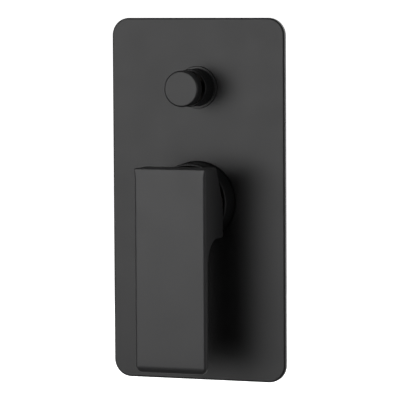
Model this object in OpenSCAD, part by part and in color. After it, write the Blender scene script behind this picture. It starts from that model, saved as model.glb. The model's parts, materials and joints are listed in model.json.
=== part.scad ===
// Concealed shower and bath mixer: a rectangular wall plate with a block lever
// over a round sleeve and a round push-pull diverter button above it, and the
// in-wall brass valve behind the plate.
// X is right, +Y is into the wall, +Z is up.  The origin is on the cartridge
// axis in the plane of the finished wall, which is also the back of the plate.

/* [Wall plate] */
// Width of the wall plate
plate_w = 106; // [100:1:112]
// Height of the wall plate
plate_h = 210; // [204:1:216]
// How far the plate stands off the wall
plate_t = 3.4; // [3:0.1:4.5]
// Corner radius of the plate outline
plate_r = 10.2; // [6:0.1:14]
// Fillet along the plate's front edge
plate_edge_r = 1.3; // [0.5:0.1:1.6]
// Thickness of the plate's front skin
plate_skin = 2; // [1.5:0.1:2.4]
// Height of the plate's centre above the cartridge axis
plate_up = 0.8; // [0:0.1:2]

/* [Lever] */
// Width of the lever
lever_w = 43; // [38:0.5:46]
// Lever's front face, measured out from the wall
lever_front = 49.3; // [47:0.1:54]
// Lever's top edge above the cartridge axis
lever_top = 21.3; // [19:0.1:23]
// Lever's lower end below the cartridge axis
lever_drop = 95.3; // [85:0.1:97]
// Thickness of the lever's arm at its root
arm_t = 4.3; // [3.8:0.1:6]
// Thickness of the lever's arm at its tip
arm_tip_t = 3.9; // [3.6:0.1:5]
// Distance from the wall to the flat back of the lever's hub
hub_back = 20.2; // [19.6:0.1:22]
// Distance from the wall to the hub's relieved top corner
hub_top_back = 30.8; // [29:0.1:33]
// Underside of the hub below the cartridge axis
hub_drop = 19.3; // [17:0.1:21]
// Radius of the hollow between hub and arm
hub_cove_r = 14.5; // [10:0.5:16]
// Corner radius at the lever's lower end
tip_corner_r = 4; // [2:0.5:6]
// Side edge fillet along the lever's front
lever_edge_r = 1.2; // [0.4:0.1:1.6]

/* [Cartridge sleeve] */
// Outside diameter of the sleeve round the cartridge
sleeve_d = 45; // [44.8:0.1:46]
// How far the sleeve's rim stands off the wall
sleeve_out = 18.1; // [14:0.1:18.2]
// Inside diameter of the sleeve
sleeve_id = 41.6; // [41.6:0.1:42]

/* [Diverter] */
// Height of the diverter axis above the cartridge axis
div_z = 65.75; // [65:0.25:68]
// Diameter of the push-pull button
knob_d = 20.8; // [19:0.1:21.2]
// Front of the button, measured out from the wall
knob_out = 30.2; // [30:0.1:31]
// Thickness of the button's head
knob_t = 6.7; // [6.4:0.1:6.8]
// Outside diameter of the button's sleeve
div_sleeve_d = 21.5; // [21:0.1:22]
// How far the button's sleeve stands off the wall
div_sleeve_out = 17.9; // [16:0.1:17.9]
// Diameter of the small flange at the foot of that sleeve
div_flange_d = 24.5; // [23:0.1:26]
// Travel of the button
div_travel = 5; // [4:0.1:5]

/* [In-wall valve] */
// Distance from the cartridge axis to the face of each inlet
inlet_x = 34; // [32:0.5:36]
// Height of the shower outlet's face above the cartridge axis
shower_z = 98; // [94:0.5:100]
// Distance of the bath outlet's face below the cartridge axis
bath_z = 46; // [44:0.5:52]
// Wall radius of the four pipe threads
port_r = 9.5; // [9.3:0.05:9.6]
// Length of each pipe thread
port_len = 13; // [11:0.5:13]
// Outside radius of the pipe bosses
boss_r = 13.5; // [13:0.1:13.5]
// Depth of the mounting bracket's back behind the finished wall
bracket_back = 56; // [56:0.5:60]
// Width of the mounting bracket
bracket_w = 62; // [60:1:64]
// Wall screw spacing across
fix_x = 50; // [46:1:50]
// Wall screw spacing up
fix_z = 140; // [130:1:144]
// Radius of the wall screw holes
fix_r = 2.75; // [2.25:0.05:3]

/* [Hidden] */
$fn = 72;

pivot = -5;          // y of the lever's tilt pin
ball_y = 5;          // y of the stem's ball
sq = 8;              // stem across flats
in_y = 33;           // y of the inlet axes
in_z = -5.5;         // z of the inlet axes
sh_y = 24;           // y of the shower outlet axis
ba_y = 40;           // y of the bath outlet axis
ch_y = 44.2;         // y of the bath channel
pin_x = 5; pin_z = -4.5;   // inlet holes in the discs and floor
pout_z = 4.8;              // mixed outlet hole
lug_u = [18, 36];    // upper body lug x, z
lug_l = [19.5, -21.5];     // lower body lug x, z
cast = "#c8a24c"; black = "#26272a"; rubber = "#161616";
plastic = "#dfe2e2"; ceramic = "#f3efe6"; steel = "#a9adb2";

// cylinders along each axis
module yc(r, y0, y1, x = 0, z = 0, r2 = -1)
    translate([x, y0, z]) rotate([-90, 0, 0])
        cylinder(r1 = r, r2 = r2 < 0 ? r : r2, h = y1 - y0);
module xc(r, x0, x1, y = 0, z = 0)
    translate([x0, y, z]) rotate([0, 90, 0]) cylinder(r = r, h = x1 - x0);
module zc(r, z0, z1, x = 0, y = 0)
    translate([x, y, z0]) cylinder(r = r, h = z1 - z0);
// a solid of revolution about Y from points [radius, y]
module rev(p, z = 0) translate([0, 0, z]) rotate([-90, 0, 0])
    rotate_extrude() polygon(p);
// a round-section ring about Y
module ring(rc, r, y, z = 0) translate([0, y, z]) rotate([-90, 0, 0])
    rotate_extrude() translate([rc, 0]) circle(r = r, $fn = 32);
function arc(cx, cy, r, a0, a1, n = 8) =
    [for (i = [0:n]) let (a = a0 + (a1 - a0) * i / n) [cx + r * cos(a), cy + r * sin(a)]];
// a box from corner to corner
module bx(a, b) translate(a) cube(b - a);
// a rounded rectangle in X and Z, pushed out along Y
module slab(w, h, r, y0, y1, zc0 = 0)
    translate([0, y1, zc0]) rotate([90, 0, 0]) linear_extrude(y1 - y0)
        union() {
            square([w - 2 * r, h], center = true);
            square([w, h - 2 * r], center = true);
            for (sx = [-1, 1], sz = [-1, 1])
                translate([sx * (w / 2 - r), sz * (h / 2 - r)]) circle(r = r);
        }

// ---------------------------------------------------------------- trim
module wall_plate() color(black) difference() {
    hull() for (sx = [-1, 1], sz = [-1, 1])
        translate([sx * (plate_w / 2 - plate_r), 0, plate_up + sz * (plate_h / 2 - plate_r)])
            rotate([90, 0, 0]) rotate_extrude($fn = 72) polygon(concat(
                [[0, 0], [plate_r, 0]],
                arc(plate_r - plate_edge_r, plate_t - plate_edge_r, plate_edge_r, 0, 90, 6),
                [[0, plate_t]]));
    // hollow back inside a rim
    slab(plate_w - 4, plate_h - 4, plate_r - 2, -(plate_t - plate_skin), 1, plate_up);
    yc(sleeve_d / 2 + 0.1, -plate_t - 1, 1);
    yc(div_sleeve_d / 2 + 0.15, -plate_t - 1, 1, 0, div_z);
}
module plate_gasket() color(rubber) difference() {
    slab(plate_w - 4.2, plate_h - 4.2, plate_r - 2.1, -(plate_t - plate_skin), 0, plate_up);
    slab(plate_w - 16, plate_h - 16, plate_r - 5, -3, 1, plate_up);
}
module sleeve_plate_ring() color(rubber)
    ring(sleeve_d / 2 + 0.92, 0.88, -0.5);
module button_plate_ring() color(rubber)
    ring(div_sleeve_d / 2 + 0.89, 0.85, -0.5, div_z);

module cartridge_sleeve() color(black) rev(concat(
    [[sleeve_id / 2, 7.5], [sleeve_id / 2, -sleeve_out + 0.4],
     [sleeve_id / 2 + 0.4, -sleeve_out]],
    arc(sleeve_d / 2 - 0.7, -sleeve_out + 0.7, 0.7, -90, 0, 5),
    [[sleeve_d / 2, 7.5]]));

// side outline of the lever, points [y, z]
function lever_side() = let (f = -lever_front, rt = 3.2,
        back = -(lever_front - arm_t), tip = -(lever_front - arm_tip_t))
    concat(
        [[f, lever_top]],
        [[-hub_top_back, lever_top]],
        arc(-hub_back - 12, 0.5 - 2.9, 12, 27, 0, 5),
        arc(-hub_back - 1.5, -hub_drop + 1.5, 1.5, 0, -90, 6),
        arc(back + hub_cove_r, -hub_drop - hub_cove_r, hub_cove_r, 90, 180, 16),
        [[tip, -lever_drop + 1]],
        [[tip - 0.5, -lever_drop]],
        arc(f + rt, -lever_drop + rt, rt, -90, -180, 8));
module lever_handle() color(black) difference() {
    union() {
        intersection() {
            translate([-lever_w / 2, 0, 0]) rotate([90, 0, 90])
                linear_extrude(lever_w) polygon(lever_side());
            // front outline with its round lower corners
            translate([0, 0, 0]) rotate([90, 0, 0]) linear_extrude(60) union() {
                translate([-lever_w / 2, -lever_drop + tip_corner_r])
                    square([lever_w, lever_drop - tip_corner_r + lever_top]);
                for (s = [-1, 1]) translate([s * (lever_w / 2 - tip_corner_r), -lever_drop + tip_corner_r])
                    circle(r = tip_corner_r);
                translate([-lever_w / 2 + tip_corner_r, -lever_drop])
                    square([lever_w - 2 * tip_corner_r, tip_corner_r + 1]);
            }
            // plan outline with its round front edges
            translate([0, 0, -lever_drop - 1]) linear_extrude(lever_drop + lever_top + 2) union() {
                translate([-lever_w / 2, -lever_front + lever_edge_r])
                    square([lever_w, 40]);
                for (s = [-1, 1]) translate([s * (lever_w / 2 - lever_edge_r), -lever_front + lever_edge_r])
                    circle(r = lever_edge_r, $fn = 32);
                translate([-lever_w / 2 + lever_edge_r, -lever_front])
                    square([lever_w - 2 * lever_edge_r, lever_edge_r + 1]);
            }
        }
        yc(9.5, -hub_back - 4, -17.4);
    }
    // square socket for the stem
    bx([-sq / 2 - 0.05, -30, -sq / 2 - 0.05], [sq / 2 + 0.05, -16, sq / 2 + 0.05]);
    // screw hole from the underside, with a wider mouth for its plug
    zc(2.5, -hub_drop - 2, -sq / 2 + 0.1, 0, -25.5);
    zc(3.2, -hub_drop - 2, -hub_drop + 2.6, 0, -25.5);
}
module socket_screw(r, l, s) difference() {
    cylinder(r = r, h = l);
    translate([0, 0, -1]) cylinder(r = s, h = 1 + l * 0.45, $fn = 6);
}
module lever_grub_screw() color(steel)
    translate([0, -25.5, -sq / 2 - 0.02 - 10]) socket_screw(2.48, 10, 1.45);
module lever_screw_plug() color(black) difference() {
    zc(3.16, -hub_drop + 0.2, -hub_drop + 2.5, 0, -25.5);
    bx([-1.6, -25.8, -hub_drop - 1], [1.6, -25.2, -hub_drop + 0.8]);
}

module diverter_sleeve() color(black) rev(concat(
    [[9.5, 3.6], [9.5, -div_sleeve_out + 0.35], [9.85, -div_sleeve_out]],
    arc(div_sleeve_d / 2 - 0.55, -div_sleeve_out + 0.55, 0.55, -90, 0, 4),
    [[div_sleeve_d / 2, -plate_t - 1.2]],
    arc(div_flange_d / 2 - 0.5, -plate_t - 0.7, 0.5, -90, 0, 4),
    [[div_flange_d / 2, -plate_t], [div_sleeve_d / 2, -plate_t],
     [div_sleeve_d / 2, 3.6]]), div_z);
module diverter_button() color(black) difference() {
    rev(concat(
        [[0, -12], [0, -knob_out]],
        arc(knob_d / 2 - 0.8, -knob_out + 0.8, 0.8, -90, 0, 6),
        arc(knob_d / 2 - 0.5, -knob_out + knob_t - 0.5, 0.5, 0, 90, 4),
        [[5.4, -knob_out + knob_t], [5.4, -12]]), div_z);
    yc(3.03, -28.8, -11, 0, div_z);
    zc(2, div_z - knob_d / 2 - 1, div_z - 2.5, 0, -26.7);
}
module button_grub_screw() color(steel)
    translate([0, -26.7, div_z - knob_d / 2 + 0.8])
        socket_screw(1.98, knob_d / 2 - 0.8 - 3.02, 1.1);

// ----------------------------------------------------------- cartridge
module cartridge_nut() color(cast) difference() {
    union() { yc(19.15, -4, 1); yc(18.3, -8, -4); }
    yc(13.6, -9, 2);
    // spanner notches
    for (a = [0:60:300]) rotate([0, a, 0]) bx([16, -9, -2.2], [20, -5, 2.2]);
}
module cartridge_housing() color(plastic) difference() {
    union() { yc(13.5, -10.5, 1.5); yc(17.5, 1, 20); }
    yc(11.25, -11, 3);
    yc(15.6, 2.45, 21);
    // side key slots
    for (s = [-1, 1]) bx([min(s * 15.2, s * 19), 17, -1.5], [max(s * 15.2, s * 19), 21, 1.5]);
}
module cartridge_rotor() color(steel) difference() {
    union() { yc(11.2, -10, 2.6); yc(14.8, 2.5, 4.5); }
    bx([-4.12, -11, -7.4], [4.12, 5, 7.4]);
    xc(1.52, -12, 12, pivot, 0);
}
module stem_pin() color(steel) xc(1.5, -10.6, 10.6, pivot, 0);
module cartridge_stem() color(cast) difference() {
    union() {
        bx([-sq / 2, -29.5, -sq / 2], [sq / 2, pivot, sq / 2]);
        xc(sq / 2, -sq / 2, sq / 2, pivot, 0);
        yc(2.2, pivot, ball_y);
        translate([0, ball_y, 0]) sphere(r = 2.6, $fn = 48);
    }
    xc(1.55, -5, 5, pivot, 0);
    yc(1.65, -30, -20);
}
module disc_carrier() color(plastic) difference() {
    yc(10.6, 4.6, 8.5);
    bx([-2.9, 4, -2.9], [2.9, 7.9, 2.9]);
}
module moving_disc() color(ceramic) difference() {
    yc(10.6, 8.5, 12);
    for (s = [-1, 1]) yc(4.5, 9.6, 13, s * 2.5, 3.5);
}
module three_holes(y0, y1, ri, ro) {
    for (s = [-1, 1]) yc(ri, y0, y1, s * pin_x, pin_z);
    yc(ro, y0, y1, 0, pout_z);
}
module fixed_disc() color(ceramic) difference() {
    yc(15.4, 12.05, 15.5);
    three_holes(11, 17, 2.6, 2.8);
}
module cartridge_base() color(plastic) difference() {
    union() { yc(15.4, 15.5, 20); yc(17.5, 20, 24); }
    three_holes(15, 25, 2.6, 2.8);
    three_holes(23, 25, 4.15, 4.15);
}
module base_seals() color(rubber) difference() {
    three_holes(23, 24, 4.1, 4.1);
    three_holes(22, 25, 2.6, 2.8);
}

// ------------------------------------------------------------ diverter
module diverter_bonnet() color(cast) difference() {
    union() {
        yc(9.45, -6, 4.5, 0, div_z);
        translate([0, 4, div_z]) rotate([-90, 0, 0]) cylinder(r = 12.7, h = 5, $fn = 6);
        yc(10.9, 9, 18, 0, div_z);
        yc(9.9, 17.9, 25, 0, div_z);
    }
    yc(3.05, -7, 26, 0, div_z);
    yc(6.5, 19, 26, 0, div_z);
    zc(2.4, div_z - 12, div_z + 12, 0, 21.8);
    xc(2.4, -12, 12, 21.8, div_z);
    // ring groove
    difference() { yc(12, 9.6, 11.2, 0, div_z); yc(9.45, 9, 12, 0, div_z); }
}
module bonnet_ring() color(rubber) ring(10.19, 0.72, 10.4, div_z);
module diverter_spindle() color(steel) rev(
    [[0, -28.6], [2.6, -28.6], [3, -28.2],
     [3, -0.6], [2.1, -0.6], [2.1, 0.6], [3, 0.6],
     [3, 5.4], [2.1, 5.4], [2.1, 6.6], [3, 6.6],
     [3, 25.05], [2, 25.05], [2, 35.7], [1.7, 36], [0, 36]], div_z);
module spindle_rings() color(rubber) for (y = [0, 6]) ring(2.58, 0.46, y, div_z);
module valve_plate() color(cast) difference() {
    yc(8.6, 27.05, 29.95, 0, div_z);
    yc(2.04, 26, 31, 0, div_z);
}
module valve_washers() color(rubber) for (y = [25.05, 29.95]) difference() {
    yc(8.2, y, y + 2, 0, div_z);
    yc(2.04, y - 1, y + 3, 0, div_z);
}
module valve_nut() color(steel) difference() {
    translate([0, 31.95, div_z]) rotate([-90, 0, 0]) cylinder(r = 4.2, h = 3, $fn = 6);
    yc(2.04, 31, 36, 0, div_z);
}

// ---------------------------------------------------------- valve body
module valve_body() color(cast) difference() {
    union() {
        // cartridge tower and chamber
        yc(20.75, -4, 9);
        yc(22.6, 8, 50);
        // diverter chamber
        yc(15.5, 9, 50, 0, div_z);
        // web between the chambers
        bx([-13, 20, 8], [13, 50, div_z]);
        // inlets, left hot and right cold
        xc(boss_r, -inlet_x, inlet_x, in_y, in_z);
        // outlets, up to the shower and down to the bath
        zc(boss_r, div_z, shower_z, 0, sh_y);
        zc(boss_r, -bath_z, -10, 0, ba_y);
        // lugs for the bracket
        bx([-lug_u[0] - 5.5, 44, lug_u[1] - 5.5], [lug_u[0] + 5.5, 50, lug_u[1] + 5.5]);
        bx([-lug_l[0] - 5.5, 44, lug_l[1] - 5.5], [lug_l[0] + 5.5, 50, lug_l[1] + 5.5]);
        for (s = [-1, 1], p = [lug_u, lug_l]) yc(5.1, 45, 54, s * p[0], p[1]);
    }
    // cartridge seat
    yc(19.2, -5, 1.5);
    yc(17.6, 0, 24);
    yc(2.8, 23, 30, 0, pout_z);
    // inlets
    for (s = [-1, 1]) {
        xc(port_r, s > 0 ? inlet_x - port_len : -inlet_x - 1, s > 0 ? inlet_x + 1 : -inlet_x + port_len, in_y, in_z);
        xc(7.1, s > 0 ? 13 : -inlet_x + 2, s > 0 ? inlet_x - 2 : -13, in_y, in_z);
        xc(3.6, s > 0 ? 3.2 : -14, s > 0 ? 14 : -3.2, in_y, in_z);
        yc(2.6, 23, in_y, s * pin_x, pin_z);
    }
    // mixed water up to the diverter
    zc(4, 2.5, div_z - 6, 0, 29.5);
    // diverter chamber bores and rear seat
    yc(10.95, 8, 18, 0, div_z);
    yc(10, 17, 37, 0, div_z);
    yc(6.5, 36, 42, 0, div_z);
    yc(8, 40.5, 47, 0, div_z);
    // bath channel behind the cartridge, drilled from the top
    zc(5, -bath_z + 11, div_z + 8, 0, ch_y);
    zc(5.6, div_z + 8, div_z + 20, 0, ch_y);
    zc(port_r, -bath_z - 1, -bath_z + port_len, 0, ba_y);
    // shower outlet
    zc(port_r, shower_z - port_len, shower_z + 1, 0, sh_y);
    zc(4, div_z + 4, shower_z - port_len + 1, 0, 21.8);
    // bracket screw holes through the lugs
    for (s = [-1, 1], p = [lug_u, lug_l]) yc(2.6, 43, 55, s * p[0], p[1]);
}
module channel_plug() color(cast) difference() {
    zc(5.55, div_z + 8, div_z + 15, 0, ch_y);
    translate([0, ch_y, div_z + 11]) cylinder(r = 2.9, h = 6, $fn = 6);
}
module check_valves() color(plastic) for (s = [-1, 1]) difference() {
    xc(7.05, s > 0 ? 13.1 : -20.5, s > 0 ? 20.5 : -13.1, in_y, in_z);
    xc(4.2, s > 0 ? 12 : -21, s > 0 ? 21 : -12, in_y, in_z);
}
module mounting_bracket() color(steel) difference() {
    union() {
        slab(bracket_w, 160, 6, bracket_back - 2, bracket_back, 20);
        for (s = [-1, 1]) bx([min(s * (bracket_w / 2 - 2), s * bracket_w / 2), bracket_back - 7, -48],
            [max(s * (bracket_w / 2 - 2), s * bracket_w / 2), bracket_back - 1, 88]);
    }
    for (sx = [-1, 1], sz = [-1, 1])
        yc(fix_r, bracket_back - 3, bracket_back + 1, sx * fix_x / 2, 20 + sz * fix_z / 2);
    for (s = [-1, 1], p = [lug_u, lug_l]) yc(2.5, bracket_back - 3, bracket_back + 1, s * p[0], p[1]);
}
module bracket_screws() color(steel) for (s = [-1, 1], p = [lug_u, lug_l])
    translate([s * p[0], 0, p[1]]) difference() {
        union() { yc(4.2, 41, 44); yc(2.46, 43.9, bracket_back - 0.3); }
        translate([0, 40, 0]) rotate([-90, 0, 0]) cylinder(r = 2.3, h = 2.8, $fn = 6);
    }

wall_plate();
plate_gasket();
sleeve_plate_ring();
button_plate_ring();
cartridge_sleeve();
lever_handle();
lever_grub_screw();
lever_screw_plug();
diverter_sleeve();
diverter_button();
button_grub_screw();
cartridge_nut();
cartridge_housing();
cartridge_rotor();
stem_pin();
cartridge_stem();
disc_carrier();
moving_disc();
fixed_disc();
cartridge_base();
base_seals();
diverter_bonnet();
bonnet_ring();
diverter_spindle();
spindle_rings();
valve_plate();
valve_washers();
valve_nut();
valve_body();
channel_plug();
check_valves();
mounting_bracket();
bracket_screws();
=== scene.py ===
import json
import math

import bmesh
import bpy
from mathutils import Matrix, Vector
from mathutils.geometry import delaunay_2d_cdt


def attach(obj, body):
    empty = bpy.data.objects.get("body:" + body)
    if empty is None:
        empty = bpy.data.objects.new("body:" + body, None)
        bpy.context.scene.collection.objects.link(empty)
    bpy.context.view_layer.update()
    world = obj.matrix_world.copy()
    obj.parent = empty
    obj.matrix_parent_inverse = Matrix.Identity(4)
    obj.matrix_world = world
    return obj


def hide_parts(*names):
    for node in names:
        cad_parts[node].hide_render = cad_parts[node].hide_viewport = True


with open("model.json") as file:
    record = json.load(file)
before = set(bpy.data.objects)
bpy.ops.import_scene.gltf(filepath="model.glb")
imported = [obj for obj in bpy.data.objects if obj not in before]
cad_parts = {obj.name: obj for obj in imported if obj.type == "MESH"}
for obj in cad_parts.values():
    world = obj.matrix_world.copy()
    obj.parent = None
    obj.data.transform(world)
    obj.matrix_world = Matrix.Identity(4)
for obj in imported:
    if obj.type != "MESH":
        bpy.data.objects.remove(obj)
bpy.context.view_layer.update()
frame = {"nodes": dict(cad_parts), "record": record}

NODES = frame["nodes"]
scene = bpy.context.scene
MM = 0.001


# ------------------------------------------------------------------ camera
cam_data = bpy.data.cameras.new("camera")
cam_data.sensor_width = 36.0
cam_data.lens = 263.1
cam_data.clip_start = 0.05
cam_data.clip_end = 400.0
camera = bpy.data.objects.new("camera", cam_data)
scene.collection.objects.link(camera)
right = Vector((0.93594007, 0.35211827, -0.00537636))
up = Vector((-0.02115998, 0.07146998, 0.99721828))
back = Vector((0.35152302, -0.93322278, 0.07434243))
camera.matrix_world = Matrix((
    (right.x, up.x, back.x, 0.59602),
    (right.y, up.y, back.y, -1.58255),
    (right.z, up.z, back.z, 0.12633),
    (0, 0, 0, 1)))
scene.camera = camera


# ------------------------------------------------------------- node helpers
class Tree:
    """Short calls for building a material's nodes."""

    def __init__(self, name):
        self.mat = bpy.data.materials.new(name)
        self.mat.use_nodes = True
        self.t = self.mat.node_tree
        self.t.nodes.clear()
        self.out = self.t.nodes.new("ShaderNodeOutputMaterial")
        self.p = self.t.nodes.new("ShaderNodeBsdfPrincipled")
        self.t.links.new(self.p.outputs["BSDF"], self.out.inputs["Surface"])
        self.coord = self.t.nodes.new("ShaderNodeTexCoord").outputs["Object"]

    def put(self, socket, value):
        if isinstance(value, bpy.types.NodeSocket):
            self.t.links.new(value, socket)
        else:
            socket.default_value = value

    def noise(self, scale, detail=4.0, rough=0.55, distort=0.0, stretch=None, kind="Fac"):
        n = self.t.nodes.new("ShaderNodeTexNoise")
        n.inputs["Scale"].default_value = scale
        n.inputs["Detail"].default_value = detail
        n.inputs["Roughness"].default_value = rough
        n.inputs["Distortion"].default_value = distort
        self.put(n.inputs["Vector"], self.stretched(stretch) if stretch else self.coord)
        return n.outputs[kind]

    def stretched(self, s, loc=(0, 0, 0), rot=(0, 0, 0)):
        m = self.t.nodes.new("ShaderNodeMapping")
        m.inputs["Scale"].default_value = s
        m.inputs["Location"].default_value = loc
        m.inputs["Rotation"].default_value = rot
        self.put(m.inputs["Vector"], self.coord)
        return m.outputs["Vector"]

    def voronoi(self, scale, feature="F1", stretch=None, randomness=1.0, out="Distance"):
        n = self.t.nodes.new("ShaderNodeTexVoronoi")
        n.feature = feature
        n.inputs["Scale"].default_value = scale
        n.inputs["Randomness"].default_value = randomness
        self.put(n.inputs["Vector"], self.stretched(stretch) if stretch else self.coord)
        return n.outputs[out]

    def ramp(self, fac, stops, interpolation="LINEAR"):
        n = self.t.nodes.new("ShaderNodeValToRGB")
        r = n.color_ramp
        r.interpolation = interpolation
        while len(r.elements) < len(stops):
            r.elements.new(0.5)
        for e, (pos, c) in zip(r.elements, stops):
            e.position = pos
            e.color = (*c, 1) if hasattr(c, "__len__") else (c, c, c, 1)
        self.put(n.inputs["Fac"], fac)
        return n.outputs["Color"]

    def math(self, op, a, b=0.0, c=0.0, clamp=False):
        n = self.t.nodes.new("ShaderNodeMath")
        n.operation = op
        n.use_clamp = clamp
        self.put(n.inputs[0], a)
        self.put(n.inputs[1], b)
        self.put(n.inputs[2], c)
        return n.outputs[0]

    def span(self, fac, lo, hi, a=0.0, b=1.0):
        n = self.t.nodes.new("ShaderNodeMapRange")
        self.put(n.inputs["Value"], fac)
        n.inputs["From Min"].default_value = a
        n.inputs["From Max"].default_value = b
        n.inputs["To Min"].default_value = lo
        n.inputs["To Max"].default_value = hi
        return n.outputs["Result"]

    def mix(self, fac, a, b, blend="MIX"):
        n = self.t.nodes.new("ShaderNodeMix")
        n.data_type = "RGBA"
        n.blend_type = blend
        self.put(n.inputs[0], fac)
        self.put(n.inputs[6], (*a, 1) if hasattr(a, "__len__") else a)
        self.put(n.inputs[7], (*b, 1) if hasattr(b, "__len__") else b)
        return n.outputs[2]

    def bump(self, height, distance, strength=1.0, onto=None):
        n = self.t.nodes.new("ShaderNodeBump")
        n.inputs["Strength"].default_value = strength
        n.inputs["Distance"].default_value = distance
        self.put(n.inputs["Height"], height)
        if onto is not None:
            self.put(n.inputs["Normal"], onto)
        return n.outputs["Normal"]

    def edges(self):
        """How much the surface turns outward: about 0.5 on a flat, more on an edge."""
        return self.t.nodes.new("ShaderNodeNewGeometry").outputs["Pointiness"]

    def set(self, **kw):
        names = {"color": "Base Color", "rough": "Roughness", "metal": "Metallic", "normal": "Normal",
                 "spec": "Specular IOR Level", "ior": "IOR", "sheen": "Sheen Weight", "sheen_rough": "Sheen Roughness",
                 "coat": "Coat Weight", "coat_rough": "Coat Roughness", "aniso": "Anisotropic",
                 "sss": "Subsurface Weight", "sss_scale": "Subsurface Scale", "diff_rough": "Diffuse Roughness"}
        for k, v in kw.items():
            s = self.p.inputs[names[k]]
            if k == "color" and hasattr(v, "__len__") and not isinstance(v, bpy.types.NodeSocket):
                v = (*v, 1)
            self.put(s, v)
        return self.mat


# --------------------------------------------------------------- materials
def powder_coat(name="matt_black", light_gain=1.0, shine=0.0):
    t = Tree(name)
    cloud = t.noise(55, 3, 0.5)
    grain = t.noise(1500, 3, 0.6)
    speck = t.voronoi(2100)
    # light_gain scales the coat's colour: above 1 it paints light into the colour
    color = t.ramp(cloud, [(0.25, tuple(light_gain * c for c in (0.0185, 0.0185, 0.0193))), (0.75, tuple(light_gain * c for c in (0.0225, 0.0225, 0.0233)))])
    color = t.mix(t.span(speck, 0.0, 0.35, 0.0, 0.9), color, tuple(light_gain * c for c in (0.026, 0.026, 0.027)))
    rough = t.math("ADD", t.span(cloud, 0.43 - shine, 0.47 - shine, 0.25, 0.75), t.span(grain, -0.02, 0.02))
    peel = t.bump(t.noise(620, 2, 0.5), 0.00001, 0.5)
    fine = t.bump(grain, 0.000006, 0.45, peel)
    return t.set(color=color, rough=rough, normal=fine, spec=0.5)


def cast_brass():
    t = Tree("cast_brass")
    big = t.noise(60, 5, 0.6)
    sand = t.noise(900, 5, 0.65)
    pits = t.voronoi(420, randomness=1.0)
    tone = t.ramp(big, [(0.2, (0.36, 0.25, 0.115)), (0.5, (0.50, 0.365, 0.175)), (0.8, (0.58, 0.44, 0.235))])
    tone = t.mix(t.span(sand, 0.0, 0.5, 0.35, 0.75), tone, (0.30, 0.205, 0.095))
    edge = t.span(t.edges(), 0.0, 1.0, 0.505, 0.56)
    tone = t.mix(edge, tone, (0.74, 0.58, 0.33))
    rough = t.math("SUBTRACT", t.span(sand, 0.42, 0.62, 0.3, 0.7), t.math("MULTIPLY", edge, 0.16))
    n = t.bump(big, 0.0003, 0.25)
    n = t.bump(sand, 0.00012, 0.55, n)
    n = t.bump(pits, 0.00008, 0.35, n)
    return t.set(color=tone, rough=rough, metal=1.0, normal=n)


def machined_brass():
    t = Tree("machined_brass")
    big = t.noise(90, 3, 0.5)
    fine = t.noise(260, 6, 0.7, stretch=(1, 12, 1))
    tone = t.ramp(big, [(0.25, (0.66, 0.50, 0.25)), (0.75, (0.76, 0.60, 0.33))])
    tone = t.mix(t.span(fine, 0.0, 0.3, 0.35, 0.65), tone, (0.58, 0.43, 0.20))
    rough = t.span(fine, 0.2, 0.33, 0.3, 0.7)
    n = t.bump(fine, 0.00002, 0.35)
    return t.set(color=tone, rough=rough, metal=1.0, normal=n)


def stainless():
    t = Tree("stainless")
    draw = t.noise(420, 5, 0.7, stretch=(1, 0.06, 1))
    cloud = t.noise(110, 2, 0.5)
    tone = t.ramp(cloud, [(0.3, (0.56, 0.56, 0.57)), (0.7, (0.64, 0.635, 0.63))])
    n = t.bump(draw, 0.00001, 0.3)
    return t.set(color=tone, rough=t.span(draw, 0.16, 0.3, 0.3, 0.7), metal=1.0, normal=n)


def fastener_steel():
    t = Tree("fastener_steel")
    cloud = t.noise(300, 4, 0.6)
    fine = t.noise(1800, 3, 0.6)
    tone = t.ramp(cloud, [(0.25, (0.50, 0.50, 0.49)), (0.5, (0.58, 0.585, 0.60)), (0.8, (0.62, 0.60, 0.53))])
    edge = t.span(t.edges(), 0.0, 0.6, 0.5, 0.6)
    tone = t.mix(edge, tone, (0.72, 0.72, 0.73))
    n = t.bump(fine, 0.000012, 0.35)
    return t.set(color=tone, rough=t.span(fine, 0.26, 0.4, 0.3, 0.7), metal=1.0, normal=n)


def zinc_plate():
    t = Tree("zinc_plate")
    cells = t.voronoi(230, out="Color")
    sep = t.t.nodes.new("ShaderNodeSeparateColor")
    t.put(sep.inputs[0], cells)
    grain = t.noise(700, 4, 0.65)
    streak = t.noise(330, 4, 0.6, stretch=(1, 1, 0.12))
    tone = t.ramp(sep.outputs[0], [(0.0, (0.50, 0.515, 0.53)), (0.5, (0.545, 0.56, 0.575)), (1.0, (0.59, 0.605, 0.62))])
    tone = t.mix(t.span(streak, 0.0, 0.35, 0.35, 0.7), tone, (0.44, 0.455, 0.47))
    rough = t.math("ADD", t.span(sep.outputs[1], 0.37, 0.44), t.span(grain, -0.03, 0.03))
    n = t.bump(sep.outputs[2], 0.00002, 0.25)
    n = t.bump(grain, 0.00001, 0.3, n)
    return t.set(color=tone, rough=rough, metal=1.0, normal=n)


def moulded(name, lo, hi, rough_lo, rough_hi, texture=1600, depth=0.00001, sss=0.0):
    t = Tree(name)
    cloud = t.noise(120, 3, 0.5)
    fine = t.noise(texture, 3, 0.6)
    flow = t.noise(210, 3, 0.5, distort=0.6, stretch=(1, 0.3, 1))
    tone = t.ramp(cloud, [(0.25, lo), (0.75, hi)])
    tone = t.mix(t.span(flow, 0.0, 0.22, 0.4, 0.7), tone, tuple(c * 0.86 for c in lo))
    n = t.bump(fine, depth, 0.45)
    m = t.set(color=tone, rough=t.span(fine, rough_lo, rough_hi, 0.3, 0.7), normal=n)
    if sss:
        t.set(sss=sss, sss_scale=0.0008)
    return m


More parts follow.
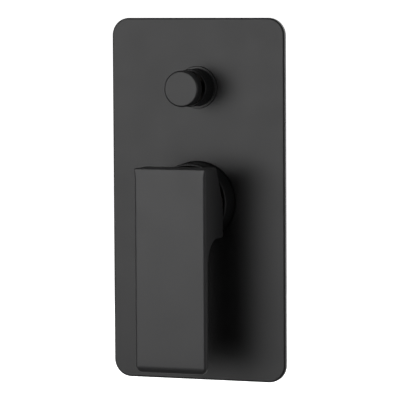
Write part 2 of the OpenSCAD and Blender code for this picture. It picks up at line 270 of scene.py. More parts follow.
def ceramic():
    t = Tree("ceramic_disc")
    cloud = t.noise(160, 3, 0.5)
    lap = t.noise(2400, 2, 0.6)
    tone = t.ramp(cloud, [(0.3, (0.84, 0.82, 0.76)), (0.7, (0.90, 0.885, 0.84))])
    n = t.bump(lap, 0.000003, 0.3)
    return t.set(color=tone, rough=t.span(lap, 0.12, 0.22, 0.3, 0.7), normal=n, sss=0.08, sss_scale=0.0006)


def rubber():
    t = Tree("rubber_seal")
    cloud = t.noise(240, 3, 0.5)
    fine = t.noise(2600, 3, 0.6)
    tone = t.ramp(cloud, [(0.25, (0.016, 0.016, 0.017)), (0.75, (0.026, 0.026, 0.027))])
    n = t.bump(fine, 0.000012, 0.5)
    return t.set(color=tone, rough=t.span(fine, 0.5, 0.66, 0.3, 0.7), normal=n)


def foam():
    t = Tree("foam_seal")
    cells = t.voronoi(1500)
    small = t.voronoi(3100)
    cloud = t.noise(180, 3, 0.5)
    tone = t.ramp(cells, [(0.0, (0.012, 0.012, 0.013)), (0.45, (0.045, 0.045, 0.047)), (1.0, (0.07, 0.07, 0.072))])
    tone = t.mix(t.span(cloud, 0.0, 0.3, 0.3, 0.7), tone, (0.03, 0.03, 0.032))
    n = t.bump(cells, 0.00022, 0.7)
    n = t.bump(small, 0.00008, 0.5, n)
    return t.set(color=tone, rough=t.span(small, 0.82, 0.95), normal=n)


def painted_shade_brass(name):
    """Brass made near-black as painted shade, for parts seen only in shadowed gaps; lighter brown on its edges."""
    t = Tree(name)
    cloud = t.noise(140, 4, 0.6)
    fine = t.noise(900, 4, 0.65, stretch=(1, 6, 1))
    # near-black tone: painted shade, not the brass's own colour
    tone = t.ramp(cloud, [(0.25, (0.013, 0.0125, 0.012)), (0.75, (0.022, 0.02, 0.0185))])
    edge = t.span(t.edges(), 0.0, 0.5, 0.54, 0.66)
    tone = t.mix(edge, tone, (0.10, 0.07, 0.035))
    n = t.bump(fine, 0.00001, 0.35)
    return t.set(color=tone, rough=t.span(fine, 0.5, 0.62, 0.3, 0.7), metal=0.0, normal=n)


MATS = {
    "matt_black": powder_coat(),
    "black_plastic": moulded("black_plastic", (0.016, 0.016, 0.017), (0.024, 0.024, 0.025), 0.42, 0.56),
    "cast_brass": cast_brass(),
    "machined_brass": machined_brass(),
    "stainless": stainless(),
    "fastener_steel": fastener_steel(),
    "zinc_plate": zinc_plate(),
    "white_plastic": moulded("white_plastic", (0.70, 0.70, 0.67), (0.78, 0.78, 0.755), 0.36, 0.48, sss=0.12),
    "grey_plastic": moulded("grey_plastic", (0.34, 0.35, 0.36), (0.42, 0.43, 0.44), 0.45, 0.6, 1100, 0.00002),
    "blue_plastic": moulded("blue_plastic", (0.045, 0.12, 0.34), (0.07, 0.165, 0.42), 0.34, 0.46),
    "ceramic_disc": ceramic(),
    "rubber_seal": rubber(),
    "foam_seal": foam(),
}
# the lever's coat is the plate's matt black painted 1.8 times lighter: painted light for the brighter light on the
# lever's front
LIT_COAT_LEVER = powder_coat("lit_black_lever", 1.8, 0.015)
# near-black brass for the cartridge nut and diverter bonnet: painted shade for the shadowed gaps they are seen through
SHADE_DARK_BRASS = painted_shade_brass("shade_dark_brass")


# ------------------------------------------------------------ mesh helpers
def fillet(corners, seg=6, support=0.05, closed=True):
    """corners is [(a, b, radius)] or [(a, b, radius, steps)] in mm. Every corner with a radius becomes an arc, with
    a point just outside each end of the arc, so that shading stays flat on the straight runs."""
    n = len(corners)
    info = []
    for i, (x, y, r, *more) in enumerate(corners):
        px, py = corners[i - 1][:2]
        qx, qy = corners[(i + 1) % n][:2]
        ux, uy, vx, vy = px - x, py - y, qx - x, qy - y
        lu, lv = math.hypot(ux, uy), math.hypot(vx, vy)
        ux, uy, vx, vy = ux / lu, uy / lu, vx / lv, vy / lv
        ang = math.acos(max(-1, min(1, ux * vx + uy * vy)))
        sharp = r <= 0 or (not closed and i in (0, n - 1)) or abs(math.pi - ang) < 1e-4
        info.append((ux, uy, vx, vy, lu, lv, ang, 0.0 if sharp else r / math.tan(ang / 2), sharp))
    out = []
    for i, (x, y, r, *more) in enumerate(corners):
        ux, uy, vx, vy, lu, lv, ang, d, sharp = info[i]
        if sharp:
            out.append((x, y))
            continue
        bx, by = ux + vx, uy + vy
        lb = math.hypot(bx, by)
        h = r / math.sin(ang / 2)
        cx, cy = x + bx / lb * h, y + by / lb * h
        ax, ay = x + ux * d, y + uy * d
        ex, ey = x + vx * d, y + vy * d
        a0 = math.atan2(ay - cy, ax - cx)
        a1 = math.atan2(ey - cy, ex - cx)
        da = (a1 - a0 + math.pi) % (2 * math.pi) - math.pi
        if lu - d - info[i - 1][7] > 2.5 * support:
            out.append((ax + ux * support, ay + uy * support))
        steps = more[0] if more else seg
        for k in range(steps + 1):
            a = a0 + da * k / steps
            out.append((cx + r * math.cos(a), cy + r * math.sin(a)))
        if lv - d - info[(i + 1) % n][7] > 2.5 * support:
            out.append((ex + vx * support, ey + vy * support))
    return out


def new_object(name, bm, materials, smooth=True):
    bmesh.ops.recalc_face_normals(bm, faces=bm.faces)
    me = bpy.data.meshes.new(name)
    bm.to_mesh(me)
    bm.free()
    for m in materials:
        me.materials.append(MATS[m])
    if smooth:
        me.shade_smooth()
    ob = bpy.data.objects.new(name, me)
    scene.collection.objects.link(ob)
    return ob


def revolve(bm, profile, z0=0.0, n=128, cap=False, mat=0, axis="y", off=(0, 0, 0)):
    """Turns a closed profile of (radius, height) in mm about an axis and adds it to bm. Points on the axis join."""
    rings = []
    for r, h in profile:
        if r < 1e-6:
            rings.append([bm.verts.new(place(0, h, 0, axis, z0, off))])
        else:
            rings.append([bm.verts.new(place(r * math.cos(2 * math.pi * k / n), h, r * math.sin(2 * math.pi * k / n), axis, z0, off))
                          for k in range(n)])
    faces = []
    m = len(rings)
    for i in range(m):
        a, b = rings[i], rings[(i + 1) % m]
        if len(a) == 1 and len(b) == 1:
            continue
        for k in range(n):
            k2 = (k + 1) % n
            if len(a) == 1:
                f = bm.faces.new((a[0], b[k], b[k2]))
            elif len(b) == 1:
                f = bm.faces.new((a[k], b[0], a[k2]))
            else:
                f = bm.faces.new((a[k], b[k], b[k2], a[k2]))
            f.material_index = mat
            f.smooth = True
            faces.append(f)
    return faces


def place(u, h, v, axis, z0, off):
    """A point of a turned shape: h runs along the axis."""
    if axis == "y":
        p = (u, h, v + z0)
    elif axis == "x":
        p = (h, u, v + z0)
    else:
        p = (u, v, h + z0)
    return ((p[0] + off[0]) * MM, (p[1] + off[1]) * MM, (p[2] + off[2]) * MM)


def rounded_rect(w, h, r, per=14):
    """Points round a rectangle with round corners, centred on 0, the same number for any size."""
    pts = []
    for cx, cz, a0 in ((w / 2 - r, h / 2 - r, 0), (-w / 2 + r, h / 2 - r, 90), (-w / 2 + r, -h / 2 + r, 180), (w / 2 - r, -h / 2 + r, 270)):
        for k in range(per + 1):
            a = math.radians(a0 + 90 * k / per)
            pts.append((cx + r * math.cos(a), cz + r * math.sin(a)))
    return pts


def bridge(bm, a, b, mat=0):
    n = len(a)
    for k in range(n):
        f = bm.faces.new((a[k], a[(k + 1) % n], b[(k + 1) % n], b[k]))
        f.material_index = mat
        f.smooth = True


def flat_fill(bm, outer, holes, mat=0, plane=(0, 2)):
    """Fills the flat region between an outer loop of verts and any holes. plane gives the two axes it lies in."""
    loops = [outer] + list(holes)
    verts = [v for l in loops for v in l]
    pa, pb = plane
    co = [Vector((v.co[pa], v.co[pb])) for v in verts]
    edges, start = [], 0
    for l in loops:
        edges += [(start + i, start + (i + 1) % len(l)) for i in range(len(l))]
        start += len(l)
    scale = 1000.0
    vs, _, fs, ov, _, _ = delaunay_2d_cdt([c * scale for c in co], edges, [], 0, 1e-5)
    back_to = {}
    for i, src in enumerate(ov):
        for s in src:
            back_to[i] = s
            break

    def inside(p, loop):
        c = False
        j = len(loop) - 1
        for i in range(len(loop)):
            xi, yi = loop[i].co[pa] * scale, loop[i].co[pb] * scale
            xj, yj = loop[j].co[pa] * scale, loop[j].co[pb] * scale
            if (yi > p.y) != (yj > p.y) and p.x < (xj - xi) * (p.y - yi) / (yj - yi) + xi:
                c = not c
            j = i
        return c

    for f in fs:
        mid = sum((vs[i] for i in f), Vector((0, 0))) / len(f)
        if inside(mid, outer) and not any(inside(mid, h) for h in holes):
            nf = bm.faces.new([verts[back_to[i]] for i in f])
            nf.material_index = mat
            nf.smooth = True


def circle_verts(bm, r, y, z0, n=96):
    return [bm.verts.new((r * math.cos(2 * math.pi * k / n) * MM, y * MM, (z0 + r * math.sin(2 * math.pi * k / n)) * MM)) for k in range(n)]


def finish_piece(ob, body, nodes=(), sharp=None):
    if sharp is not None:
        ob.data.set_sharp_from_angle(angle=math.radians(sharp))
    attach(ob, body)
    if nodes:
        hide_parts(*nodes)
    return ob


def apply_modifiers(ob):
    bpy.context.view_layer.update()
    dg = bpy.context.evaluated_depsgraph_get()
    me = bpy.data.meshes.new_from_object(ob.evaluated_get(dg), preserve_all_data_layers=True, depsgraph=dg)
    old = ob.data
    ob.modifiers.clear()
    ob.data = me
    bpy.data.meshes.remove(old)
    return ob


def cut(ob, bm_cutter, materials=("matt_black",), operation="DIFFERENCE", keep_self=False):
    """Takes the cutter's closed shape out of ob, once and for all."""
    tool = new_object("cutter", bm_cutter, materials)
    m = ob.modifiers.new("cut", "BOOLEAN")
    m.operation = operation
    m.solver = "EXACT"
    m.use_self = keep_self
    m.material_mode = "TRANSFER"
    m.object = tool
    apply_modifiers(ob)
    data = tool.data
    bpy.data.objects.remove(tool)
    bpy.data.meshes.remove(data)
    return ob


def tidy(ob):
    """Joins the slivers that cutting leaves, so that the surface is closed again."""
    bm = bmesh.new()
    bm.from_mesh(ob.data)
    for dist in (1e-6, 4e-6, 1.2e-5):
        if all(e.is_manifold for e in bm.edges):
            break
        near = {v for e in bm.edges if not e.is_manifold for v in e.verts}
        for _ in range(2):
            near |= {e.other_vert(v) for v in near for e in v.link_edges}
        bmesh.ops.remove_doubles(bm, verts=list(near), dist=dist)
        bmesh.ops.dissolve_degenerate(bm, edges=bm.edges, dist=1e-7)
        bmesh.ops.holes_fill(bm, edges=[e for e in bm.edges if e.is_boundary], sides=8)
    bm.to_mesh(ob.data)
    bm.free()
    return ob


# -------------------------------------------------------------- wall plate
PW, PH, PT, PR, PE, PUP = 106.0, 210.0, 3.4, 10.2, 1.0, 0.8


def wall_plate():
    bm = bmesh.new()
    ring_of = lambda inset, y: [bm.verts.new((x * MM, y * MM, (z + PUP) * MM))
                                for x, z in rounded_rect(PW - 2 * inset, PH - 2 * inset, max(PR - inset, 0.3))]
    lip = 0.25
    # (inset, y) from the tray's floor, over the rim, up the side and on to the front
    path = fillet([(7.0, -1.4, 0), (2.0, -1.4, 0.5), (2.0, 0.0, lip), (0.0, 0.0, lip), (0.0, -PT, PE), (7.0, -PT, 0)],
                  seg=6, closed=False)
    rings = [ring_of(i, y) for i, y in path]
    for a, b in zip(rings, rings[1:]):
        bridge(bm, a, b)
    holes_front, holes_back = [], []
    for r, z0 in ((22.6, 0.0), (10.9, 65.75)):
        hp = fillet([(r + 2.0, -PT, 0), (r, -PT, 0.75), (r, -1.4, 0.2), (r + 2.0, -1.4, 0)], seg=4, support=0.04, closed=False)
        loops = [circle_verts(bm, q, y, z0) for q, y in hp]
        for a, b in zip(loops, loops[1:]):
            bridge(bm, a, b)
        holes_front.append(loops[0])
        holes_back.append(loops[-1])
    flat_fill(bm, rings[-1], holes_front)
    flat_fill(bm, rings[0], holes_back)
    ob = new_object("plate_cover", bm, ["matt_black"])
    return finish_piece(ob, "valve", ["wall_plate"])


# ------------------------------------------------------------------- lever
LW, LF, LT, LD = 43.0, -49.3, 21.3, -95.3
EDGE_FRONT = 1.5
EDGE_BACK = 0.42
TIP_CORNER = 4.0


def lever():
    """The hub and upper arm are the side outline run across the width; below SPLIT the arm is lofted down to its
    round-cornered end. Both share the same stations across the width."""
    split = -60.0
    back_at = lambda z: -45.0 + (-45.4 + 45.0) * (z + 33.8) / (LD + 33.8)
    side = fillet([
        (LF, split - 9, 0), (LF, LT, 0.7), (-30.8, LT, 0.5), (-20.2, 0.52, 12.0), (-20.2, -19.3, 1.5),
        (-45.0, -19.3, 14.5, 22), (back_at(split - 9), split - 9, 0)], seg=8, closed=False)[1:-1]
    # stations near the top, where the front's side edges tighten into the corner
    taper = [(LF, LT - d) for d in (5.0, 4.4, 3.8, 3.2, 2.6, 2.1, 1.7, 1.3, 1.0)]
    side = [(LF, split)] + taper + side + [(back_at(split), split)]
    n = len(side)
    normals = []
    for i in range(n):
        a, b, c = side[max(i - 1, 0)], side[i], side[min(i + 1, n - 1)]
        m = []
        for p, q in ((a, b), (b, c)):
            l = math.hypot(q[0] - p[0], q[1] - p[1])
            if l > 1e-9:
                m.append((-(q[1] - p[1]) / l, (q[0] - p[0]) / l))
        mx, my = sum(v[0] for v in m), sum(v[1] for v in m)
        lm = math.hypot(mx, my)
        normals.append((mx / lm, my / lm))
    normals[0], normals[-1] = (-1.0, 0.0), (1.0, 0.0)

    def radius(z, ny):
        g = min(1.0, max(0.0, (z - (LT - 5.0)) / 4.2))
        g = g * g * (3 - 2 * g)
        return EDGE_BACK + ((EDGE_FRONT - EDGE_BACK) * (1 - g) + 0.18 * g) * max(0.0, -ny) ** 2

    radii = [radius(pt[1], nv[0]) for pt, nv in zip(side, normals)]
    half = LW / 2
    found = {0.0, 8.0, 15.0}
    for rr, steps in ((EDGE_FRONT, 8), (EDGE_BACK, 6)):
        for k in range(steps + 1):
            found.add(half - rr + rr * math.sin(math.pi / 2 * k / steps))
        found.add(half - rr - 0.06)
    xs, last = [], -1
    for x in sorted(found):
        if x - last > 0.03:
            xs.append(x)
            last = x
    xs[-1] = half
    xs = [-x for x in reversed(xs[1:])] + xs

    def sunk(d, rr):
        """How far a point d from the side is below the surface, for a round-over of radius rr."""
        return rr - math.sqrt(max(0.0, rr * rr - (rr - d) ** 2)) if d < rr else 0.0

    bm = bmesh.new()
    cols = [[bm.verts.new((x * MM, (y - ny * sunk(half - abs(x), rr)) * MM, (z - nz * sunk(half - abs(x), rr)) * MM))
             for (y, z), (ny, nz), rr in zip(side, normals, radii)] for x in xs]
    for a, b in zip(cols, cols[1:]):
        for k in range(n - 1):
            f = bm.faces.new((a[k], a[k + 1], b[k + 1], b[k]))
            f.smooth = True
    # flat side faces, with a narrow ring that keeps their shading flat
    rim = 0.07
    inners = []
    for col in (cols[0], cols[-1]):
        inner = [bm.verts.new((v.co.x, v.co.y - ny * rim * MM, v.co.z - nz * rim * MM)) for v, (ny, nz) in zip(col, normals)]
        for k in range(n - 1):
            f = bm.faces.new((col[k], col[k + 1], inner[k + 1], inner[k]))
            f.smooth = True
        flat_fill(bm, inner, [], plane=(1, 2))
        inners.append(inner)
    # the arm's lower end
    zs = {split, -75.0, -85.0, LD + 4.5, LD}
    for z0, r, steps in ((LD + TIP_CORNER, TIP_CORNER, 12), (LD + 4.5, 4.5, 10), (LD + 0.7, 0.7, 5)):
        for k in range(steps + 1):
            zs.add(z0 - r * math.sin(math.pi / 2 * k / steps))
    levels, last = [], 0
    for z in sorted(zs, reverse=True):
        if last - z > 0.04:
            levels.append(z)
            last = z
    levels[-1] = LD
    levels = [z for z in levels if z == LD or z > LD + 0.03]
    dip = lambda z, z0, r: r - math.sqrt(max(0.0, r * r - (z0 - z) ** 2)) if z < z0 else 0.0
    rows = [[c[0] for c in cols] + [inners[1][0], inners[1][-1]] + [c[-1] for c in reversed(cols)] + [inners[0][-1], inners[0][0]]]
    for z in levels[1:]:
        w = half - dip(z, LD + TIP_CORNER, TIP_CORNER)
        f = LF + dip(z, LD + 4.5, 4.5) * 0.65
        b = back_at(z) - dip(z, LD + 0.7, 0.7)
        q = min(1.0, (b - f) / 3.0)
        row = {}
        for x in xs:
            d = half - abs(x)
            inside = max(EDGE_FRONT, EDGE_BACK) + 0.06
            if d <= inside:
                nx = math.copysign(w - d * q, x) if x else 0.0
            else:
                nx = x * (w - inside * q) / (half - inside)
            row[x] = (bm.verts.new((nx * MM, (f + q * sunk(d, EDGE_FRONT)) * MM, z * MM)),
                      bm.verts.new((nx * MM, (b - q * sunk(d, EDGE_BACK)) * MM, z * MM)))
        corner = lambda x, y: bm.verts.new((x * MM, y * MM, z * MM))
        fy, by = f + q * EDGE_FRONT, b - q * EDGE_BACK
        rows.append([row[x][0] for x in xs] + [corner(w, fy + rim * q), corner(w, by - rim * q)]
                    + [row[x][1] for x in reversed(xs)] + [corner(-w, by - rim * q), corner(-w, fy + rim * q)])
    for a, b in zip(rows, rows[1:]):
        bridge(bm, a, b)
    flat_fill(bm, rows[-1], [], plane=(0, 1))
    ob = new_object("lever_shell", bm, ["matt_black"])
    # boss behind the hub, with the square socket for the stem
    b = bmesh.new()
    revolve(b, fillet([(0, -24, 0), (9.5, -24, 0), (9.5, -17.4, 0.5), (0, -17.4, 0)], closed=False), n=96)
    cut(ob, b, operation="UNION")
    b = bmesh.new()
    socket = rounded_rect(8.1, 8.1, 0.5, 4)
    loops = [[b.verts.new((x * s * MM, y * MM, z * s * MM)) for x, z in socket] for y, s in ((-30, 1), (-17.9, 1), (-16.9, 1.12))]
    bridge(b, loops[0], loops[1])
    bridge(b, loops[1], loops[2])
    b.faces.new(loops[0])
    b.faces.new(loops[2])
    cut(ob, b)
    # screw hole in the underside, wide at its mouth for the plug
    b = bmesh.new()
    revolve(b, [(0, -22), (3.5, -22), (3.5, -19.25), (3.2, -18.95), (3.2, -16.7), (2.5, -16.7), (2.5, -3.8), (0, -3.8)], axis="z", off=(0, -25.5, 0), n=64)
    cut(ob, b)
    # the lever takes the lighter copy of the coat, with painted light in its colour
    ob.data.materials[0] = LIT_COAT_LEVER
    return finish_piece(ob, "lever", ["lever_handle"], sharp=38)




# ----------------------------------------------------------------- sleeves
def turned(name, corners, z0, nodes, seg=6, n=160):
    bm = bmesh.new()
    revolve(bm, fillet(corners, seg=seg), z0, n)
    ob = new_object(name, bm, ["matt_black"])
    return finish_piece(ob, "valve", nodes)


def diverter_button():
    z0, R, F = 65.75, 10.4, -30.2
    bm = bmesh.new()
    revolve(bm, fillet([(0, F, 0), (R, F, 1.1), (R, F + 6.7, 0.45), (5.4, F + 6.7, 0.3), (5.4, -12, 0.3), (3.03, -12, 0.2), (3.03, -28.8, 0), (0, -28.8, 0)],
                       seg=6, closed=False), z0, 128)
    ob = new_object("button_cap", bm, ["matt_black"])
    b = bmesh.new()
    revolve(b, [(0, -R - 1), (2.25, -R - 1), (2.25, -R + 0.1), (2.0, -R + 0.35), (2.0, -2.5), (0, -2.5)], axis="z", off=(0, -26.7, z0), n=48)
    cut(ob, b)
    return finish_piece(ob, "button", ["diverter_button"], sharp=38)


# ---------------------------------------------------------- in-wall pieces
def drum(bm, r, y0, y1, x=0.0, z=0.0, axis="y", edge=1.2, n=72, mat=0, a=0.0, b=0.0):
    """A plain round bar with rounded ends. a and b place the axis: (x, z) for y, (y, z) for x, (x, y) for z."""
    off = {"y": (x, 0, 0), "x": (0, a, 0), "z": (a, b, 0)}[axis]
    z0 = {"y": z, "x": b, "z": 0.0}[axis]
    revolve(bm, fillet([(0, y0, 0), (r, y0, edge), (r, y1, edge), (0, y1, 0)], seg=3, closed=False), z0, n, axis=axis, off=off, mat=mat)


def block(bm, lo, hi, mat=0):
    vs = [bm.verts.new((x * MM, y * MM, z * MM)) for x in (lo[0], hi[0]) for y in (lo[1], hi[1]) for z in (lo[2], hi[2])]
    for f in ((0, 1, 3, 2), (4, 6, 7, 5), (0, 4, 5, 1), (2, 3, 7, 6), (0, 2, 6, 4), (1, 5, 7, 3)):
        nf = bm.faces.new([vs[i] for i in f])
        nf.material_index = mat


def thread_rod(bm, axis, t0, t1, a=0.0, b=0.0, minor=9.35, major=10.42, pitch=1.814, n=64):
    """A threaded rod, its rows following the helix. a and b place its axis, as in drum."""
    per = 8
    shape = [0.0, 0.0, 0.25, 0.75, 1.0, 1.0, 0.75, 0.25]
    rows = int((t1 - t0) / pitch * per) + per
    step = pitch / per
    grid = []
    for i in range(rows + 1):
        r = minor + (major - minor) * shape[i % per]
        line = []
        for j in range(n):
            ang = 2 * math.pi * j / n
            t = t0 + i * step + pitch * j / n - pitch
            u, v = r * math.cos(ang), r * math.sin(ang)
            if axis == "x":
                p = (t, u + a, v + b)
            else:
                p = (u + a, v + b, t)
            line.append(bm.verts.new((p[0] * MM, p[1] * MM, p[2] * MM)))
        grid.append(line)
    for i in range(rows):
        for j in range(n):
            if j < n - 1:
                bm.faces.new((grid[i][j], grid[i + 1][j], grid[i + 1][j + 1], grid[i][j + 1]))
            elif i + per + 1 <= rows:
                bm.faces.new((grid[i][j], grid[i + 1][j], grid[i + per + 1][0], grid[i + per][0]))
    ends = ([grid[0][j] for j in range(n)] + [grid[i][0] for i in range(per, 0, -1)],
            [grid[rows][j] for j in range(n)] + [grid[i][n - 1] for i in range(rows - 1, rows - per - 1, -1)])
    for loop in ends:
        mid = bm.verts.new(sum((v.co for v in loop), Vector()) / len(loop))
        for i in range(len(loop)):
            bm.faces.new((loop[i], loop[(i + 1) % len(loop)], mid))


def valve_body():
    """The casting: its raw shape is joined, remeshed and smoothed so that every junction has a cast fillet, and the
    faces, bores and threads are then machined into it."""
    raw = []

    def part(fn):
        b = bmesh.new()
        fn(b)
        raw.append(b)

    part(lambda b: drum(b, 22.6, 8, 50, edge=2.0, n=96))
    part(lambda b: drum(b, 21.0, -5, 12, edge=0.3, n=96))
    part(lambda b: drum(b, 15.5, 7.5, 50, z=65.75, edge=1.6))
    part(lambda b: block(b, (-13, 20, 8), (13, 50, 65.75)))
    part(lambda b: drum(b, 13.5, -36, 36, axis="x", a=33, b=-5.5, edge=0.5))
    part(lambda b: drum(b, 13.5, 62, 100, axis="z", a=0, b=24, edge=0.5))
    part(lambda b: drum(b, 13.5, -48, -8, axis="z", a=0, b=40, edge=0.5))
    for lx, lz in ((18, 36), (19.5, -21.5)):
        part(lambda b: block(b, (-lx - 5.5, 43.5, lz - 5.5), (lx + 5.5, 50, lz + 5.5)))
        for s in (-1, 1):
            part(lambda b: drum(b, 5.3, 45, 56, x=s * lx, z=lz, edge=0.4, n=40))
    merged = bmesh.new()
    for b in raw:
        bmesh.ops.recalc_face_normals(b, faces=b.faces)
        me = bpy.data.meshes.new("part")
        b.to_mesh(me)
        b.free()
        merged.from_mesh(me)
        bpy.data.meshes.remove(me)
    me = bpy.data.meshes.new("casting")
    merged.to_mesh(me)
    merged.free()
    me.materials.append(MATS["cast_brass"])
    ob = bpy.data.objects.new("casting", me)
    scene.collection.objects.link(ob)
    m = ob.modifiers.new("grid", "REMESH")
    m.mode = "VOXEL"
    m.voxel_size = 0.0008
    m.use_smooth_shade = True
    m = ob.modifiers.new("soften", "SMOOTH")
    m.factor = 0.5
    m.iterations = 7
    m = ob.modifiers.new("thin", "DECIMATE")
    m.ratio = 0.55
    apply_modifiers(ob)
    tool = lambda fn, op="DIFFERENCE": (lambda b: (fn(b), cut(ob, b, ("machined_brass",), op)))(bmesh.new())
    # faces: inlets, outlets, tower front and the bracket pads
    tool(lambda b: block(b, (-34, -4, -46), (34, 54, 98)), "INTERSECT")
    tool(lambda b: drum(b, 17.5, 2, 9, z=65.75, edge=0.1))
    # the tower's turned outside
    tool(lambda b: revolve(b, [(20.75, -6), (20.75, 8.2), (24, 8.2), (24, -6)], n=128))
    # cartridge seat
    tool(lambda b: revolve(b, [(0, -6), (20.0, -6), (20.0, -4.4), (19.2, -3.6), (19.2, 1.5), (17.6, 2.0), (17.6, 24), (0, 24)], n=128))
    # diverter bore and seat
    tool(lambda b: revolve(b, [(0, 7), (12.65, 7), (12.65, 7.95), (10.95, 9.65), (10.95, 18), (10, 18.4), (10, 37), (6.5, 37), (6.5, 41), (8, 41), (8, 47), (0, 47)], 65.75, n=96))
    # inlets
    for s in (-1, 1):
        t0, t1 = sorted((s * 37.5, s * 22.3))
        tool(lambda b: thread_rod(b, "x", t0, t1, 33, -5.5))
        tool(lambda b: revolve(b, [(0, s * 36.1), (13.0, s * 36.1), (9.2, s * 32.3), (0, s * 32.3)], -5.5, 96, axis="x", off=(0, 33, 0)))
        tool(lambda b: revolve(b, [(0, s * 23.4), (10.6, s * 23.4), (10.6, s * 21.2), (7.1, s * 21.0), (7.1, s * 13), (3.6, s * 13), (3.6, s * 3.2), (0, s * 3.2)],
                               -5.5, 80, axis="x", off=(0, 33, 0)))
    # shower and bath outlets
    for z, s, y in ((98, 1, 24), (-46, -1, 40)):
        t0, t1 = sorted((z + s * 3.5, z - s * 11.7))
        tool(lambda b: thread_rod(b, "z", t0, t1, 0, y))
        tool(lambda b: revolve(b, [(0, z + s * 2.1), (13.0, z + s * 2.1), (9.2, z - s * 1.7), (0, z - s * 1.7)], 0, 96, axis="z", off=(0, y, 0)))
    tool(lambda b: revolve(b, [(0, 86.6), (10.6, 86.6), (10.6, 85.0), (0, 85.0)], 0, 80, axis="z", off=(0, 24, 0)))
    tool(lambda b: revolve(b, [(0, 85.5), (4, 85.5), (4, 69.75), (0, 69.75)], 0, 48, axis="z", off=(0, 21.8, 0)))
    tool(lambda b: revolve(b, [(0, -34.6), (10.6, -34.6), (10.6, -33.0), (0, -33.0)], 0, 80, axis="z", off=(0, 40, 0)))
    tool(lambda b: revolve(b, [(0, -35), (5, -35), (5, 73.75), (5.6, 73.75), (5.6, 83.5), (0, 83.5)], 0, 48, axis="z", off=(0, 44.2, 0)))
    # screw holes in the lugs
    for lx, lz in ((18, 36), (19.5, -21.5)):
        for s in (-1, 1):
            tool(lambda b: revolve(b, [(0, 40), (4.9, 40), (4.9, 44.0), (2.6, 44.0), (2.6, 56), (0, 56)], lz, 40, off=(s * lx, 0, 0)))
    tidy(ob)
    return finish_piece(ob, "valve", ["valve_body"], sharp=32)


def mounting_bracket():
    """Two-millimetre galvanised sheet with folded sides, bend reliefs and deburred holes."""
    bm = bmesh.new()
    rows = []
    path = fillet([(4.0, 54.0, 0), (0.0, 54.0, 0.18), (0.0, 56.0, 0.18), (4.0, 56.0, 0)], seg=2, support=0.03, closed=False)
    for inset, y in path:
        rows.append([bm.verts.new((x * MM, y * MM, (z + 20) * MM)) for x, z in rounded_rect(62 - 2 * inset, 160 - 2 * inset, 6 - min(inset, 4.0))])
    for a, b in zip(rows, rows[1:]):
        bridge(bm, a, b)
    flat_fill(bm, rows[0], [])
    flat_fill(bm, rows[-1], [])
    ob = new_object("wall_bracket", bm, ["zinc_plate"], smooth=False)
    # folded sides
    for s in (-1, 1):
        b = bmesh.new()
        out = [(s * x, y) for x, y in fillet([(24, 56, 0), (31, 56, 3.0, 8), (31, 49, 0.5), (29, 49, 0.5), (29, 54, 1.0, 5), (24, 54, 0)], seg=3, closed=False)]
        lo = [b.verts.new((x * MM, y * MM, -48 * MM)) for x, y in out]
        hi = [b.verts.new((x * MM, y * MM, 88 * MM)) for x, y in out]
        bridge(b, lo, hi)
        flat_fill(b, lo, [], plane=(0, 1))
        flat_fill(b, hi, [], plane=(0, 1))
        # room for the bend in the flat sheet
        c = bmesh.new()
        block(c, (min(s * 27.9, s * 33), 53, -48.9), (max(s * 27.9, s * 33), 57, 88.9))
        cut(ob, c, ("zinc_plate",))
        cut(ob, b, ("zinc_plate",), "UNION")
    for x, z, r in [(sx * 25, 20 + sz * 70, 2.75) for sx in (-1, 1) for sz in (-1, 1)] + [(sx * lx, lz, 2.5) for sx in (-1, 1) for lx, lz in ((18, 36), (19.5, -21.5))]:
        c = bmesh.new()
        revolve(c, [(0, 53), (r + 1.2, 53), (r + 0.2, 54.001), (r, 54.2), (r, 55.8), (r + 0.2, 55.999), (r + 1.2, 57), (0, 57)], z, 48, off=(x, 0, 0))
        cut(ob, c, ("zinc_plate",))
    for p in ob.data.polygons:
        p.use_smooth = True
    return finish_piece(ob, "valve", ["mounting_bracket"], sharp=35)


def plate_gasket():
    """The foam strip round the back of the plate, a little uneven and pillowed between its edges."""
    w, h, r = 101.8, 205.8, 8.1
    prof = fillet([(0.0, -1.4, 0.1), (0.0, 0.0, 0.45), (5.9, 0.0, 0.45), (5.9, -1.4, 0.1)], seg=4, support=0.15)
    bm = bmesh.new()
    rows = []
    for inset, y in prof:
        loop = []
        pts = rounded_rect(w - 2 * inset, h - 2 * inset, max(r - inset, 1.2), 12)
        # more points along the straight runs
        dense = []
        for i, p in enumerate(pts):
            q = pts[(i + 1) % len(pts)]
            dense.append(p)
            gap = math.hypot(q[0] - p[0], q[1] - p[1])
            if gap > 20:
                k = 24
                dense += [(p[0] + (q[0] - p[0]) * j / k, p[1] + (q[1] - p[1]) * j / k) for j in range(1, k)]
        for i, (x, z) in enumerate(dense):
            wave = 0.05 * math.sin(i * 1.7) + 0.04 * math.sin(i * 0.61 + 1.0)
            loop.append(bm.verts.new((x * MM, (y + (wave - 0.1 if y > -0.5 else 0.0)) * MM, (z + PUP) * MM)))
        rows.append(loop)
    for a, b in zip(rows, rows[1:] + rows[:1]):
        bridge(bm, a, b)
    ob = new_object("foam_strip", bm, ["foam_seal"])
    finish_piece(ob, "valve", ["plate_gasket"])
    return ob


wall_plate()
lever()
valve_body()
mounting_bracket()
plate_gasket()
turned("sleeve_round", [(20.8, 7.5, 0.2), (20.8, -18.1, 0.8), (22.5, -18.1, 0.8), (22.5, 7.5, 0.2)], 0.0, ["cartridge_sleeve"])
turned("diverter_collar", [(9.5, 3.6, 0.2), (9.5, -17.9, 0.5), (10.75, -17.9, 0.6), (10.75, -4.6, 0.25), (12.25, -4.6, 0.4), (12.25, -3.4, 0.12),
                           (10.75, -3.4, 0.05), (10.75, 3.6, 0.2)], 65.75, ["diverter_sleeve"])
diverter_button()

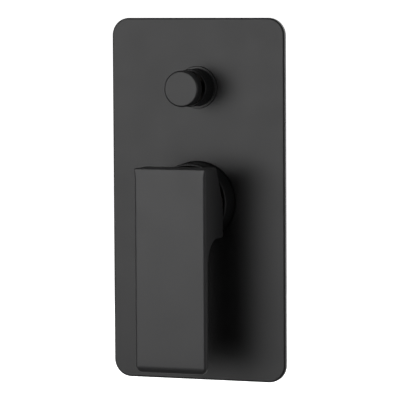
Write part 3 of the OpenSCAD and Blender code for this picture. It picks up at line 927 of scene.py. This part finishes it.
# every other CAD piece keeps its shape and takes its own material, except the cartridge nut and diverter bonnet, which
# take near-black brass as painted shade for the gaps they sit in
slot_of = {s["node"]: s["material_slot"] for s in frame["record"]["subparts"]}
for name, ob in NODES.items():
    if ob.hide_render:
        continue
    ob.data.materials.clear()
    ob.data.materials.append(SHADE_DARK_BRASS if name in ("cartridge_nut", "diverter_bonnet") else MATS[slot_of[name]])


# ------------------------------------------------------------------- stage
def stage_material():
    m = bpy.data.materials.new("pale_floor")
    m.use_nodes = True
    t = m.node_tree
    p = t.nodes["Principled BSDF"]
    p.inputs["Base Color"].default_value = (0.82, 0.82, 0.82, 1)
    p.inputs["Roughness"].default_value = 0.9
    p.inputs["Specular IOR Level"].default_value = 0.1
    p.inputs["Emission Color"].default_value = (1, 1, 1, 1)
    p.inputs["Emission Strength"].default_value = 1.0
    return m


bm = bmesh.new()
bmesh.ops.create_grid(bm, x_segments=8, y_segments=8, size=110.0)
me = bpy.data.meshes.new("floor")
bm.to_mesh(me)
bm.free()
me.materials.append(stage_material())
floor = bpy.data.objects.new("floor", me)
floor.location = (0, 0, -0.26)
scene.collection.objects.link(floor)
floor.visible_diffuse = False
floor.visible_glossy = False


def area_light(name, azimuth, elevation, distance, width, height, power, aim=(0, 0, 0), visible=False):
    """A rectangle of light. Azimuth 0 is in front of the plate, 90 to its right."""
    a, e = math.radians(azimuth), math.radians(elevation)
    d = Vector((math.sin(a) * math.cos(e), -math.cos(a) * math.cos(e), math.sin(e)))
    data = bpy.data.lights.new(name, "AREA")
    data.shape = "RECTANGLE"
    data.size = width
    data.size_y = height
    data.energy = power
    ob = bpy.data.objects.new(name, data)
    scene.collection.objects.link(ob)
    pos = Vector(aim) + d * distance
    ob.matrix_world = Matrix.Translation(pos) @ d.to_track_quat("Z", "Y").to_matrix().to_4x4()
    ob.visible_camera = visible
    return ob


def panel(name, azimuth, elevation, distance, across, tall, radiance, aim=(0, 0, 0)):
    """A light given by the angles it covers and its brightness."""
    w = 2 * distance * math.tan(math.radians(across / 2))
    h = 2 * distance * math.tan(math.radians(tall / 2))
    return area_light(name, azimuth, elevation, distance, w, h, math.pi * w * h * radiance, aim)


panel("key", -20, 4, 1.15, 22, 20, 2.0)
panel("key_mid", -20, 3, 1.18, 36, 33, 1.55)
panel("key_wide", -20, 2, 1.21, 54, 50, 0.7)
panel("right_fill", 60, -4, 1.7, 56, 56, 0.1)
panel("right_strip", 68, 4, 1.6, 5, 44, 3.0)
# behind the plate, hidden from its front
panel("back", 180, 10, 1.8, 34, 40, 1.6)
panel("back_left", -150, 4, 1.8, 9, 44, 4.0)
panel("back_right", 150, 14, 1.8, 9, 44, 3.0)

world = bpy.data.worlds.new("studio")
scene.world = world
world.use_nodes = True
wt = world.node_tree
wt.nodes.clear()
wo = wt.nodes.new("ShaderNodeOutputWorld")
mixw = wt.nodes.new("ShaderNodeMixShader")
path = wt.nodes.new("ShaderNodeLightPath")
dark = wt.nodes.new("ShaderNodeBackground")
dark.inputs["Color"].default_value = (1, 1, 1, 1)
# dim in front of the plate and brighter behind it, where only its sides and back see it
where = wt.nodes.new("ShaderNodeTexCoord")
axes = wt.nodes.new("ShaderNodeSeparateXYZ")
wt.links.new(where.outputs["Generated"], axes.inputs[0])
rise = wt.nodes.new("ShaderNodeMapRange")
rise.interpolation_type = "SMOOTHSTEP"
rise.inputs["From Min"].default_value = 0.0
rise.inputs["From Max"].default_value = 0.45
rise.inputs["To Min"].default_value = 0.01
rise.inputs["To Max"].default_value = 0.45
wt.links.new(axes.outputs["Y"], rise.inputs["Value"])
wt.links.new(rise.outputs["Result"], dark.inputs["Strength"])
white = wt.nodes.new("ShaderNodeBackground")
white.inputs["Color"].default_value = (1, 1, 1, 1)
white.inputs["Strength"].default_value = 1.0
wt.links.new(path.outputs["Is Camera Ray"], mixw.inputs[0])
wt.links.new(dark.outputs[0], mixw.inputs[1])
wt.links.new(white.outputs[0], mixw.inputs[2])
wt.links.new(mixw.outputs[0], wo.inputs["Surface"])

scene.view_settings.view_transform = "Standard"
scene.view_settings.look = "None"
scene.view_settings.exposure = 0.0
scene.view_settings.gamma = 1.0
